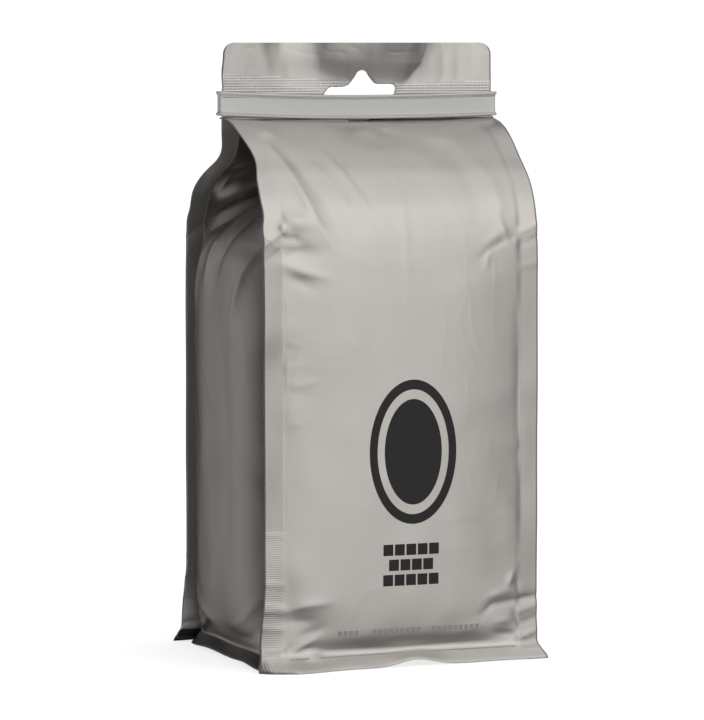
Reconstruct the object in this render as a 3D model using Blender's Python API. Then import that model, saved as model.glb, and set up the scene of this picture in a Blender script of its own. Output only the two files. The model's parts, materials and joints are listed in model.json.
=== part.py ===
"""Flat-bottom, side-gusset pouch of loose gymnastics chalk, closed with a wire tin tie.

Units are metres and +Z is up. The front panel faces -Y. The origin is on the floor, under the
middle of the pouch. The pouch is made of thin webs of foil laminate: a front and a back web, two
gusset webs folded in at the neck, and a bottom web. They are heat-sealed to each other in fins at
the four upright corners and in a skirt round the foot. Above the fold under the tie, the same
webs lie flat on each other and make the head, with the hang hole and the tie.
"""

import math
from collections import namedtuple

import bmesh
import bpy

MM = 0.001

# Driving dimensions of the pouch
HALF_WIDTH = 60 * MM
FIN = 8 * MM
TOP_Z = 252.5 * MM
FILM = 0.2 * MM
SEAL_GAP = 0.1 * MM
LAYER = FILM + SEAL_GAP
SEAM_X = HALF_WIDTH - FIN
PLEAT_X = 5 * MM
HEAD_CORNER = 5 * MM

# The fold under the tie: the head turns about this line
NECK_Y = 1.75 * MM
FOLD_Z = 220 * MM
FOLD_CLEARANCE = 0.7 * MM
HEAD_FOOT_Z = FOLD_Z + FOLD_CLEARANCE
NECK_TOP_Z = FOLD_Z - FOLD_CLEARANCE

# Hang hole: a slot with a domed peak over its middle
HOLE_HALF_WIDTH = 16 * MM
HOLE_LOW_Z = 230.2 * MM
HOLE_SHOULDER_Z = 235.7 * MM
HOLE_TOP_Z = 242 * MM
HOLE_END_RADIUS = 2.2 * MM
PEAK_HALF_WIDTH = 7.5 * MM
PEAK_RADIUS = 3.4 * MM

# Tin tie: a cover and a backing ribbon with a wire along each edge
TIE_LOW_Z = 221 * MM
TIE_HIGH_Z = 231 * MM
TAB_LENGTH = 34 * MM
BEND_X = HALF_WIDTH + 1 * MM
BEND_GAP = 0.15 * MM
RIBBON = 0.15 * MM
WIRE_RADIUS = 0.35 * MM
GLUE = 0.2 * MM

# Distances outwards from the middle of the head's stack of webs
HEAD_FACE = 2 * LAYER - SEAL_GAP / 2
GLUE_FACE = HEAD_FACE + SEAL_GAP + GLUE
BACKING_FOOT = GLUE_FACE + SEAL_GAP
BACKING_FACE = BACKING_FOOT + RIBBON
WIRE_OUT = BACKING_FACE + SEAL_GAP + WIRE_RADIUS
BEAD_INNER = WIRE_RADIUS + SEAL_GAP
BEAD_OUTER = BEAD_INNER + FILM
COVER_FACE = BACKING_FACE + SEAL_GAP + FILM

# Along the tie: where the cover leaves a bead, and how far the wires and the glue stop short
BEAD_EDGE = 0.75 * MM
WIRE_SHORT = 0.5 * MM
GLUE_SHORT_X = 2 * MM
GLUE_SHORT_Z = 1.5 * MM

# The body is lofted through these stations, in millimetres. front and back are the places of the
# fins, side is how far out the middle of a gusset stands, square shapes the gusset's section
# (1 is a straight fold, 3 a round bulge, 6 nearly square) and swell is the panels' crown.
Station = namedtuple("Station", "z front back side square swell")
STATIONS = [
    Station(0.4, -50.4, 50.4, 61.6, 6.0, 0.0),
    Station(3.0, -48.4, 48.4, 60.4, 6.0, 0.0),
    Station(7.0, -47.3, 47.3, 60.2, 5.0, 0.4),
    Station(16.0, -47.0, 47.0, 62.2, 3.6, 1.4),
    Station(34.0, -47.0, 47.0, 63.8, 3.0, 2.4),
    Station(70.0, -47.0, 47.0, 64.5, 2.8, 3.0),
    Station(110.0, -47.0, 47.0, 64.5, 2.8, 3.0),
    Station(145.0, -47.0, 47.0, 64.2, 2.8, 2.8),
    Station(163.0, -46.7, 46.6, 62.5, 2.6, 2.2),
    Station(172.0, -46.3, 45.9, 59.5, 2.2, 1.8),
    Station(179.0, -45.5, 44.4, 54.5, 1.7, 1.5),
    Station(185.5, -44.1, 41.6, 47.5, 1.4, 1.2),
    Station(192.0, -41.6, 35.8, 37.0, 1.15, 0.9),
    Station(199.0, -37.2, 25.0, 23.0, 1.0, 0.6),
    Station(205.0, -31.5, 15.0, 14.0, 1.0, 0.4),
    Station(210.0, -24.0, 9.6, 9.0, 1.0, 0.2),
    Station(213.5, -15.5, 7.0, 6.5, 1.0, 0.0),
    Station(216.0, -6.0, 4.6, 5.3, 1.0, 0.0),
    Station(217.4, 0.3, 3.2, 5.0, 1.0, 0.0),
    Station(219.3, 1.3, 2.2, 5.0, 1.0, 0.0),
]
FOOT_STATIONS = 3
SKIRT_INSET = LAYER + 0.25 * MM

# Inside the skirt, the bottom web and the powder on it step inwards and down to the floor, as
# (inset, height) in millimetres
BOTTOM_STEPS = ((2.2, 5.4), (4.6, 2.6), (8.5, 0.6), (12.0, 0.1))
FILL_FOOT_STEPS = ((13.0, 0.8), (9.0, 1.3), (5.4, 3.4), (3.0, 6.2), (1.6, 8.4))

# The powder fills these stations and ends in a shallow cap
FILL_STATIONS = range(3, 12)
FILL_INSET = 1.2 * MM
FILL_CAP_INSET = 9 * MM
FILL_CAP_RISE = 4 * MM

# Shares of the way from a gusset's seam to its middle
WEB_SHARES = (0.07, 0.2, 0.4, 0.65, 1.0)
SEAM_TURN = 0.5 * MM
WIDEST_FOLD = 4 * MM
PANEL_COLUMNS = (-60, -52, -36, -18, 0, 18, 36, 52, 60)
INNER_COLUMNS = (-48, -36, -18, 0, 18, 36, 48)

SILVER_FILM = ((0.62, 0.60, 0.57, 1), 0.4, 0.8)
DARK_FILM = ((0.45, 0.43, 0.41, 1), 0.45, 0.8)
RIBBON_SILVER = ((0.70, 0.70, 0.69, 1), 0.35, 0.6)
BARE_STEEL = ((0.55, 0.55, 0.56, 1), 0.3, 1.0)
CLEAR_GLUE = ((0.85, 0.83, 0.76, 1), 0.5, 0.0)
WHITE_CHALK = ((0.93, 0.93, 0.92, 1), 0.95, 0.0)


def clear_scene():
    for old in list(bpy.data.objects):
        bpy.data.objects.remove(old)


def finish_of(name, look):
    """A Principled material of its own for one sub-part."""
    colour, roughness, metallic = look
    material = bpy.data.materials.new(name + "_finish")
    material.use_nodes = True
    shader = material.node_tree.nodes["Principled BSDF"]
    shader.inputs["Base Color"].default_value = colour
    shader.inputs["Roughness"].default_value = roughness
    shader.inputs["Metallic"].default_value = metallic
    return material


def add_object(name, mesh_data, look, parent=None):
    """Links a bmesh as a named object, smooth except at its sharp edges."""
    bmesh.ops.recalc_face_normals(mesh_data, faces=mesh_data.faces)
    mesh = bpy.data.meshes.new(name)
    mesh_data.to_mesh(mesh)
    mesh_data.free()
    if look:
        mesh.shade_smooth()
        mesh.set_sharp_from_angle(angle=math.radians(40))
        mesh.materials.append(finish_of(name, look))
    made = bpy.data.objects.new(name, mesh)
    bpy.context.scene.collection.objects.link(made)
    if parent:
        made.parent = parent
        made.matrix_parent_inverse = parent.matrix_world.inverted()
    return made


def add_axis(name, place):
    """An empty on a joint's axis, which the pieces of a moving body are parented to."""
    axis = bpy.data.objects.new(name, None)
    axis.location = place
    axis.empty_display_size = 10 * MM
    bpy.context.scene.collection.objects.link(axis)
    bpy.context.view_layer.update()
    return axis


def skin_rows(mesh_data, rows, closed):
    """Joins rows of points with quads, round each row as well if closed. Returns the vertices."""
    grid = [[mesh_data.verts.new(point) for point in row] for row in rows]
    for low, high in zip(grid, grid[1:]):
        for k in range(len(low) if closed else len(low) - 1):
            after = (k + 1) % len(low)
            mesh_data.faces.new((low[k], low[after], high[after], high[k]))
    return grid


def thicken(made):
    """Gives a surface the thickness of the film, half of it to each side."""
    shell = made.modifiers.new("film", "SOLIDIFY")
    shell.thickness = FILM
    shell.offset = 0
    shell.use_even_offset = True
    shell.use_quality_normals = True
    return made


def film_from_grid(name, rows, look, parent=None):
    """A closed web: a grid of points down the middle of the film, thickened both ways."""
    mesh_data = bmesh.new()
    skin_rows(mesh_data, rows, closed=False)
    return thicken(add_object(name, mesh_data, look, parent))


def loft(name, loops, look, parent=None):
    """A closed solid through loops that all have the same number of points."""
    mesh_data = bmesh.new()
    rings = skin_rows(mesh_data, loops, closed=True)
    mesh_data.faces.new(rings[0])
    mesh_data.faces.new(rings[-1])
    return add_object(name, mesh_data, look, parent)


def offset_profile(profile, distance):
    """Moves an open (y, z) line sideways by a distance, with mitred corners."""
    moved = []
    for k, (y, z) in enumerate(profile):
        normals = []
        for a, b in ((k - 1, k), (k, k + 1)):
            if 0 <= a and b < len(profile):
                dy = profile[b][0] - profile[a][0]
                dz = profile[b][1] - profile[a][1]
                length = math.hypot(dy, dz)
                normals.append((dz / length, -dy / length))
        ny = sum(n[0] for n in normals) / len(normals)
        nz = sum(n[1] for n in normals) / len(normals)
        reach = distance / (ny * ny + nz * nz)
        moved.append((y + ny * reach, z + nz * reach))
    return moved


def front_profile():
    return [(s.front * MM, s.z * MM) for s in STATIONS]


def back_profile():
    return [(s.back * MM, s.z * MM) for s in STATIONS]


def crown(station, x):
    """How far a panel stands out past its fins at x."""
    share = max(0.0, 1 - (x / SEAM_X) ** 2)
    return station.swell * MM * share


def add_panel(name, profile, outwards):
    """The front or back web, from the skirt to the fold under the tie."""
    rows = []
    for station, (y, z) in zip(STATIONS, profile):
        columns = [c * MM for c in PANEL_COLUMNS]
        rows.append([(x, y + outwards * crown(station, x), z) for x in columns])
    return film_from_grid(name, rows, SILVER_FILM)


def web_half(station, seam_y, middle_y):
    """The (x, y) points of a gusset from one seam to its middle, before it is mirrored."""
    depth = abs(middle_y - seam_y)
    towards = math.copysign(1, middle_y - seam_y)
    opened = min(1.0, station.square - 1)
    fold = min(depth, LAYER / 2 + opened * (WIDEST_FOLD - LAYER / 2))
    points = [(SEAM_X, seam_y)]
    turn = towards * opened * SEAM_TURN
    points.append((SEAM_X - 0.8 * SEAM_TURN, seam_y + turn))
    for share in WEB_SHARES:
        x = SEAM_X + (station.side * MM - SEAM_X) * (1 - (1 - share) ** station.square)
        points.append((x, middle_y - towards * (fold + (depth - fold) * (1 - share))))
    return points


def add_gusset(name, side):
    """A side web: sealed behind the front fin, out round the side and in to the back fin."""
    front = offset_profile(front_profile(), LAYER)
    back = offset_profile(back_profile(), -LAYER)
    rows = []
    for station, (front_y, front_z), (back_y, back_z) in zip(STATIONS, front, back):
        middle_y = (front_y + back_y) / 2
        flange = [HALF_WIDTH, HALF_WIDTH - FIN / 2]
        row = [(x, front_y, front_z) for x in flange]
        out = web_half(station, front_y, middle_y) + web_half(station, back_y, middle_y)[::-1]
        for x, y in out:
            share = (y - front_y) / (back_y - front_y)
            row.append((x, y, front_z + share * (back_z - front_z)))
        row += [(x, back_y, back_z) for x in reversed(flange)]
        rows.append([(side * x, y, z) for x, y, z in row])
    return film_from_grid(name, rows, DARK_FILM)


def inner_loop(station, inset, z):
    """The pouch's inner outline at a station, drawn in by inset on each side."""
    front_y = station.front * MM
    back_y = station.back * MM
    middle_y = (front_y + back_y) / 2
    columns = [c * MM for c in INNER_COLUMNS]
    loop = [(x, front_y - crown(station, x)) for x in columns]
    web = web_half(station, front_y, middle_y)[2:] + web_half(station, back_y, middle_y)[:1:-1]
    loop += web
    loop += [(x, back_y + crown(station, x)) for x in reversed(columns)]
    loop += [(-x, y) for x, y in reversed(web)]
    scale_x = 1 - inset / (station.side * MM)
    scale_y = 1 - inset / (back_y - middle_y)
    return [(x * scale_x, middle_y + (y - middle_y) * scale_y, z) for x, y in loop]


def add_bottom():
    """The bottom web: flat on the floor, up to a crest, and down inside the skirt."""
    rim = [inner_loop(s, SKIRT_INSET, s.z * MM) for s in STATIONS[:FOOT_STATIONS]]
    crest = STATIONS[FOOT_STATIONS - 1]
    rim += [inner_loop(crest, inset * MM, z * MM) for inset, z in BOTTOM_STEPS]
    mesh_data = bmesh.new()
    rings = skin_rows(mesh_data, rim, closed=True)
    mesh_data.faces.new(rings[-1])
    return thicken(add_object("bottom_panel", mesh_data, SILVER_FILM))


def add_chalk():
    """The loose powder that fills the pouch, as one settled mass."""
    crest = STATIONS[FOOT_STATIONS - 1]
    loops = [inner_loop(crest, inset * MM, z * MM) for inset, z in FILL_FOOT_STEPS]
    loops += [inner_loop(STATIONS[k], FILL_INSET, STATIONS[k].z * MM) for k in FILL_STATIONS]
    top = STATIONS[FILL_STATIONS[-1]]
    loops.append(inner_loop(top, FILL_CAP_INSET, top.z * MM + FILL_CAP_RISE))
    return loft("chalk_fill", loops, WHITE_CHALK)


def arc(centre, radius, start, end, steps):
    """Points round a centre, angles in degrees."""
    turn = [math.radians(start + (end - start) * k / steps) for k in range(steps + 1)]
    return [(centre[0] + radius * math.cos(a), centre[1] + radius * math.sin(a)) for a in turn]


def head_outline():
    """The head's (x, z) outline, with rounded top corners."""
    right = (HALF_WIDTH - HEAD_CORNER, TOP_Z - HEAD_CORNER)
    left = (-right[0], right[1])
    outline = [(-HALF_WIDTH, HEAD_FOOT_Z), (HALF_WIDTH, HEAD_FOOT_Z)]
    outline += arc(right, HEAD_CORNER, 0, 90, 5)
    outline += arc(left, HEAD_CORNER, 90, 180, 5)
    return outline


def hole_outline():
    """The hang hole's (x, z) outline: round-ended slot, flanks and a round peak."""
    end_z = HOLE_SHOULDER_Z - HOLE_END_RADIUS
    end_x = HOLE_HALF_WIDTH - HOLE_END_RADIUS
    low_z = HOLE_LOW_Z + HOLE_END_RADIUS
    half = arc((end_x, low_z), HOLE_END_RADIUS, -90, 0, 4)
    half += arc((end_x, end_z), HOLE_END_RADIUS, 0, 90, 4)
    half.append((PEAK_HALF_WIDTH, HOLE_SHOULDER_Z))
    half += arc((0, HOLE_TOP_Z - PEAK_RADIUS), PEAK_RADIUS, 25, 90, 4)
    return half + [(-x, z) for x, z in reversed(half[:-1])]


def extrude_outline(name, outline, y_low, y_high, look, parent=None):
    """A flat plate: an (x, z) outline between two y planes."""
    mesh_data = bmesh.new()
    rows = [[(x, y, z) for x, z in outline] for y in (y_low, y_high)]
    near, far = skin_rows(mesh_data, rows, closed=True)
    mesh_data.faces.new(near)
    mesh_data.faces.new(far)
    return add_object(name, mesh_data, look, parent)


def as_helper(made):
    made.hide_render = True
    made.display_type = "WIRE"
    return made


def cut(made, helper, operation):
    step = made.modifiers.new(operation.lower(), "BOOLEAN")
    step.operation = operation
    step.object = helper
    step.solver = "EXACT"


def add_head_webs(axis):
    """The four webs above the fold, flat on each other, with the hang hole through them."""
    reach = 6 * MM
    planes = (NECK_Y - reach, NECK_Y + reach)
    hole = as_helper(extrude_outline("hole_cutter", hole_outline(), *planes, None))
    stencil = as_helper(extrude_outline("head_stencil", head_outline(), *planes, None))
    inner = HEAD_FACE - FILM
    for name, sign in (("front_header", -1), ("back_header", 1)):
        faces = sorted((NECK_Y + sign * inner, NECK_Y + sign * HEAD_FACE))
        web = extrude_outline(name, head_outline(), *faces, SILVER_FILM, axis)
        cut(web, hole, "DIFFERENCE")
    for name, side in (("left_gusset_header", -1), ("right_gusset_header", 1)):
        web = add_folded_web(name, side, axis)
        cut(web, stencil, "INTERSECT")
        cut(web, hole, "DIFFERENCE")


def add_folded_web(name, side, axis):
    """A gusset web folded flat: out at the fin, in to the pleat's edge and out again."""
    outer = HEAD_FACE - LAYER
    inner = outer - FILM
    section = [
        (HALF_WIDTH + MM, -outer),
        (PLEAT_X - FILM, -outer),
        (PLEAT_X - FILM, outer),
        (HALF_WIDTH + MM, outer),
        (HALF_WIDTH + MM, inner),
        (PLEAT_X, inner),
        (PLEAT_X, -inner),
        (HALF_WIDTH + MM, -inner),
    ]
    heights = (HEAD_FOOT_Z - MM, TOP_Z + MM)
    loops = [[(side * x, NECK_Y + y, z) for x, y in section] for z in heights]
    return loft(name, loops, DARK_FILM, axis)


def wire_heights():
    return (TIE_LOW_Z + BEAD_OUTER, TIE_HIGH_Z - BEAD_OUTER)


def cover_path():
    """The cover's (outward, z) middle line: over the lower wire, flat, over the upper wire."""
    low, high = wire_heights()
    radius = (BEAD_INNER + BEAD_OUTER) / 2
    flat = COVER_FACE - FILM / 2
    path = arc((WIRE_OUT, low), radius, -100, 100, 8)
    path += [(flat, low + BEAD_EDGE), (flat, high - BEAD_EDGE)]
    path += arc((WIRE_OUT, high), radius, -100, 100, 8)
    return path


def add_ribbon_set(prefix, x_low, x_high, outwards, parent):
    """Cover, backing and two wires along X, on the front (-1) or the back (1) of the head."""
    rows = [
        [(x, NECK_Y + outwards * out, z) for out, z in cover_path()] for x in (x_low, x_high)
    ]
    film_from_grid(prefix + "cover", rows, RIBBON_SILVER, parent)
    edge = BEAD_OUTER / 2
    faces = sorted((NECK_Y + outwards * BACKING_FOOT, NECK_Y + outwards * BACKING_FACE))
    low_z = TIE_LOW_Z + edge
    high_z = TIE_HIGH_Z - edge
    backing = [(x_low, low_z), (x_high, low_z), (x_high, high_z), (x_low, high_z)]
    extrude_outline(prefix + "backing", backing, *faces, RIBBON_SILVER, parent)
    ends = (x_low + WIRE_SHORT, x_high - WIRE_SHORT)
    for name, z in zip(("wire_lower", "wire_upper"), wire_heights()):
        ring = arc((NECK_Y + outwards * WIRE_OUT, z), WIRE_RADIUS, 0, 324, 9)
        loops = [[(x, y, up) for y, up in ring] for x in ends]
        loft(prefix + name, loops, BARE_STEEL, parent)


def bend_section():
    """The ribbon's whole (outward, z) section, with its two beads, for the bends."""
    low, high = wire_heights()
    edge = BEAD_OUTER / 2
    section = [(BACKING_FOOT, TIE_HIGH_Z - edge), (BACKING_FOOT, TIE_LOW_Z + edge)]
    section += arc((WIRE_OUT, low), BEAD_OUTER, -100, 80, 6)
    section += [(COVER_FACE, low + BEAD_EDGE), (COVER_FACE, high - BEAD_EDGE)]
    section += arc((WIRE_OUT, high), BEAD_OUTER, -80, 100, 6)
    return section


def add_tie_bend(name, side, axis):
    """The half turn of the whole ribbon round one edge of the head."""
    steps = 8
    loops = []
    for k in range(steps + 1):
        angle = math.radians(-90 + 180 * k / steps)
        loop = []
        for out, z in bend_section():
            x = side * (BEND_X + out * math.cos(angle))
            loop.append((x, NECK_Y + out * math.sin(angle), z))
        loops.append(loop)
    return loft(name, loops, RIBBON_SILVER, axis)


def add_tie(head_axis, tab_axes):
    front_end = BEND_X - BEND_GAP
    add_ribbon_set("tie_", -front_end, front_end, -1, head_axis)
    glue_faces = (NECK_Y - GLUE_FACE, NECK_Y - HEAD_FACE - SEAL_GAP)
    glue_x = HALF_WIDTH - GLUE_SHORT_X
    glue_z = (TIE_LOW_Z + GLUE_SHORT_Z, TIE_HIGH_Z - GLUE_SHORT_Z)
    glue = [(-glue_x, glue_z[0]), (glue_x, glue_z[0]), (glue_x, glue_z[1]), (-glue_x, glue_z[1])]
    extrude_outline("tie_glue", glue, *glue_faces, CLEAR_GLUE, head_axis)
    for side, word in ((-1, "left_"), (1, "right_")):
        add_tie_bend(word + "tie_bend", side, head_axis)
        ends = sorted((side * front_end, side * (BEND_X - TAB_LENGTH)))
        add_ribbon_set(word + "tab_", ends[0], ends[1], 1, tab_axes[word])


def main():
    clear_scene()
    neck_axis = add_axis("neck_fold_axis", (0, NECK_Y, FOLD_Z))
    tie_z = (TIE_LOW_Z + TIE_HIGH_Z) / 2
    tab_axes = {}
    for side, word in ((-1, "left_"), (1, "right_")):
        tab_axes[word] = add_axis(word + "tab_axis", (side * BEND_X, NECK_Y, tie_z))
    add_panel("front_panel", front_profile(), -1)
    add_panel("back_panel", back_profile(), 1)
    add_gusset("left_gusset", -1)
    add_gusset("right_gusset", 1)
    add_bottom()
    add_chalk()
    add_head_webs(neck_axis)
    add_tie(neck_axis, tab_axes)


main()
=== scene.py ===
"""The looks of the chalk pouch: wrinkled foil webs, seals, tin tie, print, light and camera.

Everything is worked out in millimetres in the frame's own axes and turned into metres when a
mesh is made. Heights run from the floor; s is the way up the front web along its own surface.
"""

import json
import math

import bmesh
import bpy
import numpy as np
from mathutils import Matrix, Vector


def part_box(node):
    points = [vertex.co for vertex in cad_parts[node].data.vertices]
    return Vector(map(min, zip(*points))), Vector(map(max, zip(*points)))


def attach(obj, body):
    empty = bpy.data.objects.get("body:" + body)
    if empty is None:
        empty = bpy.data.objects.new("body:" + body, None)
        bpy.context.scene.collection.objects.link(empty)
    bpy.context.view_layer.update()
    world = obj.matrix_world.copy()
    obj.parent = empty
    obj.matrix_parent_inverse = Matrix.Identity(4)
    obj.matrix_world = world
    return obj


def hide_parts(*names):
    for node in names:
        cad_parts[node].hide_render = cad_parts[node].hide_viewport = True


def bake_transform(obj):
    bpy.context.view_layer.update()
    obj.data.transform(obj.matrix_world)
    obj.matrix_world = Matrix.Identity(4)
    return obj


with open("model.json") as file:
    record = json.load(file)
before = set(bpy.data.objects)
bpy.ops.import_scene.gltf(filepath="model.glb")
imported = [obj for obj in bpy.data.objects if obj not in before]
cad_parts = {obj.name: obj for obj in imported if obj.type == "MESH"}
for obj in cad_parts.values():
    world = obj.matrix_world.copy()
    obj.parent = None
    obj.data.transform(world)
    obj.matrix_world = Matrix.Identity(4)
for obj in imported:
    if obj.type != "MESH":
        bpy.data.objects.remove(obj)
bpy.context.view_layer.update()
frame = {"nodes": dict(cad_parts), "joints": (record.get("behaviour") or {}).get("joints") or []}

MM = 0.001


def size_mm(node):
    """A CAD node's lowest and highest corners in millimetres."""
    low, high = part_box(node)
    return np.array(low) / MM, np.array(high) / MM


# Sizes that come from the frame
HALF_WIDTH, _, TOP_Z = size_mm("front_header")[1]
(_, _, TIE_LOW_Z), (_, _, TIE_HIGH_Z) = size_mm("tie_cover")
JOINT = {j["name"]: j for j in frame["joints"]}
NECK_Y = JOINT["neck_fold"]["pos_m"][1] / MM
FOLD_Z = JOINT["neck_fold"]["pos_m"][2] / MM
BEND_X = JOINT["right_tab_bend"]["pos_m"][0] / MM
TAB_END_X = size_mm("left_tab_cover")[1][0]

# Film and seals
FIN = 8.0
SEAM_X = HALF_WIDTH - FIN
FILM = 0.13
LAYER = 0.2
HEAD_CORNER = 5.0
PLEAT_X = 5.0
ROW_STEP = 1.1
HEAD_ROW_STEP = 0.6
TOP_ROWS = 1.5
SEED = 7

# Stations of the pouch from the floor up: height, front fin, back fin, how far out the gusset's
# middle stands, the gusset's section (1 folded, 3 round, 6 square) and the panels' crown
STATIONS = np.array([
    (0.05, -50.6, 50.6, 60.4, 11.0, 0.0),
    (3.0, -48.6, 48.6, 58.2, 9.0, 0.0),
    (5.5, -47.6, 47.6, 56.6, 6.0, -0.6),
    (9.0, -47.2, 47.2, 58.4, 4.4, 0.4),
    (16.0, -47.0, 47.0, 61.4, 3.4, 1.6),
    (34.0, -47.0, 47.0, 63.8, 3.0, 2.6),
    (70.0, -47.0, 47.0, 64.5, 2.8, 3.2),
    (110.0, -47.0, 47.0, 64.6, 2.8, 3.2),
    (145.0, -47.0, 47.0, 64.4, 2.8, 2.8),
    (163.0, -46.7, 46.6, 63.0, 2.6, 2.4),
    (172.0, -46.3, 45.9, 60.0, 2.2, 2.0),
    (179.0, -45.5, 44.4, 54.5, 1.7, 1.7),
    (185.5, -44.1, 41.6, 46.0, 1.4, 1.4),
    (192.0, -41.6, 35.8, 36.0, 1.15, 1.0),
    (199.0, -37.0, 24.4, 24.0, 1.0, 0.8),
    (205.0, -30.4, 14.0, 14.0, 1.0, 0.7),
    (210.0, -24.0, 8.4, 9.0, 1.0, 0.5),
    (214.2, -17.6, 5.0, 6.5, 1.0, 0.3),
    (217.4, -11.4, 3.2, 5.4, 1.0, 0.2),
    (219.4, -5.6, 2.4, 5.1, 1.0, 0.0),
    (220.2, -0.6, 2.15, 5.0, 1.0, 0.0),
])


def pchip(x, y, at):
    """Smooth curve through points that makes no false bumps between them."""
    h = np.diff(x)
    slope = np.diff(y) / h
    m = np.zeros_like(y)
    m[0] = slope[0]
    m[-1] = slope[-1]
    for k in range(1, len(x) - 1):
        if slope[k - 1] * slope[k] > 0:
            w1 = 2 * h[k] + h[k - 1]
            w2 = h[k] + 2 * h[k - 1]
            m[k] = (w1 + w2) / (w1 / slope[k - 1] + w2 / slope[k])
    i = np.clip(np.searchsorted(x, at) - 1, 0, len(x) - 2)
    t = (at - x[i]) / h[i]
    a = (1 + 2 * t) * (1 - t) ** 2
    b = t * (1 - t) ** 2
    c = t * t * (3 - 2 * t)
    d = t * t * (t - 1)
    return a * y[i] + b * h[i] * m[i] + c * y[i + 1] + d * h[i] * m[i + 1]


def smooth(t):
    """A step from 0 to 1 with level ends."""
    t = np.clip(t, 0, 1)
    return t * t * (3 - 2 * t)


# Rows shared by all the upright webs, from the skirt's edge to the head's top
steps = np.hypot(np.diff(STATIONS[:, 0]), np.diff(STATIONS[:, 1]))
STATION_S = np.concatenate([[0], np.cumsum(steps)])
BODY_S = np.linspace(0, STATION_S[-1], int(STATION_S[-1] / ROW_STEP))
body = [pchip(STATION_S, STATIONS[:, k], BODY_S) for k in range(6)]
HEAD_Z = np.concatenate([
    np.arange(FOLD_Z + 0.3, TOP_Z - TOP_ROWS, HEAD_ROW_STEP),
    TOP_Z - TOP_ROWS + TOP_ROWS * np.sin(np.linspace(0.15, 1, 7) * math.pi / 2),
])
NECK_S = STATION_S[-1] + 1.5


def rows_of(k, head_value):
    """One column of the stations for every row: the body's curve, then the head's value."""
    return np.concatenate([body[k], np.broadcast_to(head_value, len(HEAD_Z))])


ROW_Z = rows_of(0, HEAD_Z)
FRONT_Y = rows_of(1, NECK_Y - 1.5 * LAYER)
BACK_Y = rows_of(2, NECK_Y + 1.5 * LAYER)
SIDE_X = rows_of(3, PLEAT_X)
SQUARE = rows_of(4, 1.0)
SWELL = rows_of(5, 0.0)
ROW_S = np.concatenate([BODY_S, NECK_S + HEAD_Z - HEAD_Z[0]])
IN_HEAD = ROW_S >= NECK_S
ROWS = len(ROW_S)


# ---------------- wrinkle tools
def fold(x, s, a, b, height, width, sharp):
    """A straight crease from a to b: a ridge that falls off over width and fades at both ends."""
    ax, ay = a
    dx, dy = b[0] - ax, b[1] - ay
    length = math.hypot(dx, dy)
    along = ((x - ax) * dx + (s - ay) * dy) / length
    across = ((x - ax) * dy - (s - ay) * dx) / length
    beyond = np.maximum(0, np.maximum(-along, along - length))
    middle = np.clip(along / length, 0, 1)
    taper = 0.35 + 0.65 * np.sin(np.pi * middle)
    reach = np.hypot(across, beyond)
    return height * taper * np.exp(-((reach / width) ** sharp))


def crease(x, s, places, height, width, sharp):
    """A crease through several places: a ridge, or a valley if the height is negative."""
    lengths = [math.dist(a, b) for a, b in zip(places, places[1:])]
    total = sum(lengths)
    nearest = np.full(x.shape, np.inf)
    share = np.zeros(x.shape)
    passed = 0.0
    for (ax, ay), (bx, by), length in zip(places, places[1:], lengths):
        along = ((x - ax) * (bx - ax) + (s - ay) * (by - ay)) / length
        along = np.clip(along, 0, length)
        reach = np.hypot(x - ax - along * (bx - ax) / length, s - ay - along * (by - ay) / length)
        closer = reach < nearest
        nearest = np.where(closer, reach, nearest)
        share = np.where(closer, (passed + along) / total, share)
        passed += length
    taper = 0.3 + 0.7 * np.sin(np.pi * share)
    return height * taper * np.exp(-((nearest / width) ** sharp))


def dent(x, s, centre, radii, height, turn=0.0):
    """A soft oval dent or bump."""
    c, n = math.cos(math.radians(turn)), math.sin(math.radians(turn))
    u = ((x - centre[0]) * c + (s - centre[1]) * n) / radii[0]
    v = (-(x - centre[0]) * n + (s - centre[1]) * c) / radii[1]
    return height * np.exp(-(u * u + v * v))


LATTICE = 64


def field_noise(x, s, scale, seed):
    """Smooth noise over a grid, about -1 to 1: random values at lattice points, blended."""
    lattice = np.random.default_rng(SEED * 1000 + seed).uniform(-1, 1, (LATTICE, LATTICE))
    u = x / scale[0] + 100.37
    v = s / scale[1] + 100.71
    iu, iv = np.floor(u).astype(int), np.floor(v).astype(int)
    fu, fv = smooth(u - iu), smooth(v - iv)
    iu0, iv0, iu1, iv1 = (k % LATTICE for k in (iu, iv, iu + 1, iv + 1))
    low = lattice[iu0, iv0] * (1 - fu) + lattice[iu1, iv0] * fu
    high = lattice[iu0, iv1] * (1 - fu) + lattice[iu1, iv1] * fu
    return 1.3 * (low * (1 - fv) + high * fv)


def crumple(x, s, scale, seed):
    """Crease lines of crumpled film: ridges where smooth noise crosses zero."""
    return np.exp(-np.abs(field_noise(x, s, scale, seed)) / 0.06)


# ---------------- webs as grids of points
FIN_COLUMNS = np.linspace(HALF_WIDTH, SEAM_X, 11)
INNER_COLUMNS = np.linspace(SEAM_X, -SEAM_X, 125)[1:-1]
PANEL_X = np.concatenate([FIN_COLUMNS, INNER_COLUMNS, -FIN_COLUMNS[::-1]])[::-1]


# How much the head leans back for each millimetre up, at places in x: left and right of its crease
LEAN_LEFT = (
    (-60, -48, -43.5, -39, -34, -21, -9, -4, 40),
    (-0.07, -0.06, -0.10, -0.05, 0.05, 0.04, -0.20, -0.20, -0.17),
)
LEAN_RIGHT = ((0, 30, 52, 60), (0.05, 0.05, 0.05, 0.02))
# Heights of the crease's places, and where it stands in x at each
CREASE_X = ((231, 232, 244, 252.5), (16.0, 17.5, 27.8, 30.2))
CREASE_REACH = 5.0
LEAN_FROM_Z = 232.0
LEAN_BLUR = (-4.5, -3.0, -1.5, 0.0, 1.5, 3.0, 4.5)


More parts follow.
